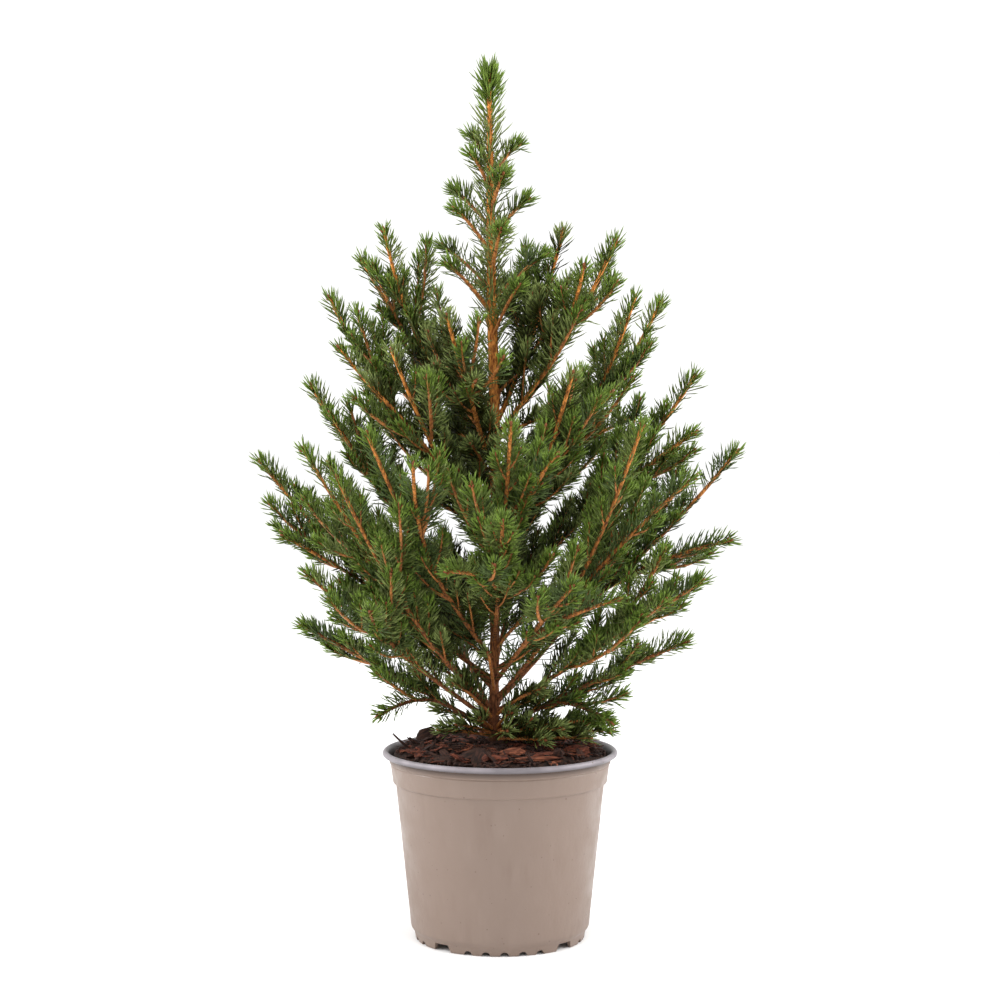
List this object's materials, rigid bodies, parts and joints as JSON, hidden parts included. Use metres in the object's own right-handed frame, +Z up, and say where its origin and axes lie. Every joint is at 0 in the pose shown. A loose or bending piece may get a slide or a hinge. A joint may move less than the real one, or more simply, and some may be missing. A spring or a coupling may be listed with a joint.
{
  "type": "potted dwarf spruce",
  "caption": "Young dwarf spruce with a slim leader and upswept, needled boughs, growing in a tapered plastic nursery pot filled with bark mulch.",
  "frame": {"origin": "middle of the pot's flat underside, on the ground", "axes": "+Z up through the pot and the trunk, +X to the right of the front view, +Y to the back"},
  "size_m": [0.2842, 0.2516, 0.4918],
  "materials": {
    "pot_plastic": "matt taupe recycled plastic with fine dark specks",
    "bark_mulch": "damp dark brown bark mulch",
    "bark": "matt orange-brown young bark",
    "needles": "soft satin green needles"
  },
  "bodies": {
    "root": {"pot": "pot_plastic", "soil": "bark_mulch", "trunk": "bark", "bough_01": "bark", "bough_02": "bark", "bough_03": "bark", "bough_04": "bark", "bough_05": "bark", "bough_06": "bark", "bough_07": "bark", "bough_08": "bark", "bough_09": "bark", "bough_10": "bark", "bough_11": "bark", "bough_12": "bark", "bough_13": "bark", "bough_14": "bark", "bough_15": "bark", "bough_16": "bark", "bough_17": "bark", "bough_18": "bark", "bough_19": "bark", "bough_20": "bark", "bough_21": "bark", "bough_22": "bark", "bough_23": "bark", "bough_24": "bark", "bough_25": "bark", "bough_26": "bark", "bough_27": "bark", "bough_28": "bark", "foliage_01": "needles", "foliage_02": "needles", "foliage_03": "needles", "foliage_04": "needles", "foliage_05": "needles", "foliage_06": "needles", "foliage_07": "needles", "foliage_08": "needles", "foliage_09": "needles", "foliage_10": "needles", "foliage_11": "needles", "foliage_12": "needles", "foliage_13": "needles", "foliage_14": "needles", "foliage_15": "needles", "foliage_16": "needles", "foliage_17": "needles", "foliage_18": "needles", "foliage_19": "needles", "foliage_20": "needles", "foliage_21": "needles", "foliage_22": "needles", "foliage_23": "needles", "foliage_24": "needles", "foliage_25": "needles", "foliage_26": "needles", "foliage_27": "needles", "foliage_28": "needles", "leader": "needles"}
  },
  "joints": []
}
